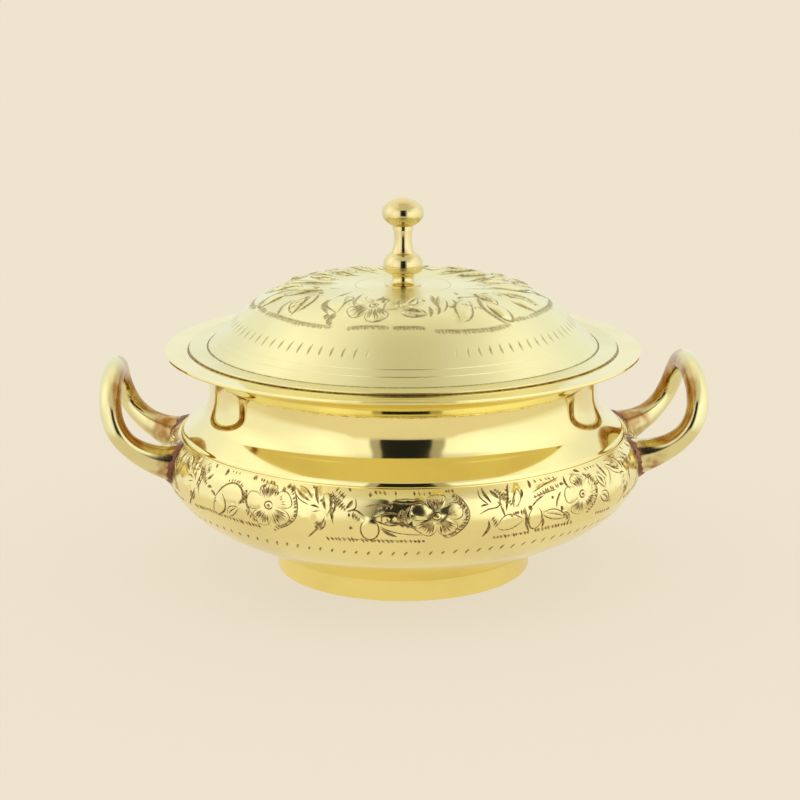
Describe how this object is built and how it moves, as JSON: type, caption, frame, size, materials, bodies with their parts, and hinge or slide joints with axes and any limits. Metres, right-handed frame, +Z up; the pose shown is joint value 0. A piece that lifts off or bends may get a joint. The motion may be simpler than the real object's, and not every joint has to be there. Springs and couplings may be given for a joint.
{
  "type": "lidded brass serving bowl",
  "caption": "Round-bellied brass serving bowl on a foot ring, with looped side handles and a domed, engraved lid that lifts off by a turned knob.",
  "frame": {"origin": "centre of the foot ring, on the surface that the bowl stands on", "axes": "+X through the right handle, +Y away from the viewer, +Z up along the knob"},
  "size_m": [0.2404, 0.1926, 0.1503],
  "materials": {
    "polished_brass": "mirror polished, pale gold",
    "engraved_brass": "polished, with a hand-engraved band of flowers and leaves",
    "brushed_brass": "satin, spun round the axis, pale greenish gold, with an engraved band",
    "satin_brass": "satin turned",
    "bare_brass": "unpolished spun brass with turning marks",
    "braze": "rough reddish-brown brazing filler"
  },
  "bodies": {
    "bowl": {"belly": "engraved_brass", "neck": "polished_brass", "foot_ring": "satin_brass", "foot_braze": "braze", "handle_right": "polished_brass", "handle_left": "polished_brass", "handle_braze": "braze"},
    "lid": {"lid_shell": "brushed_brass", "lid_collar": "bare_brass", "collar_braze": "braze", "knob": "polished_brass", "knob_washer": "bare_brass", "knob_screw": "bare_brass"}
  },
  "joints": [
    {"name": "lid_lift", "type": "slide", "parent": "bowl", "child": "lid", "axis": [0, 0, 1], "range_m": [0, 0.09]}
  ]
}
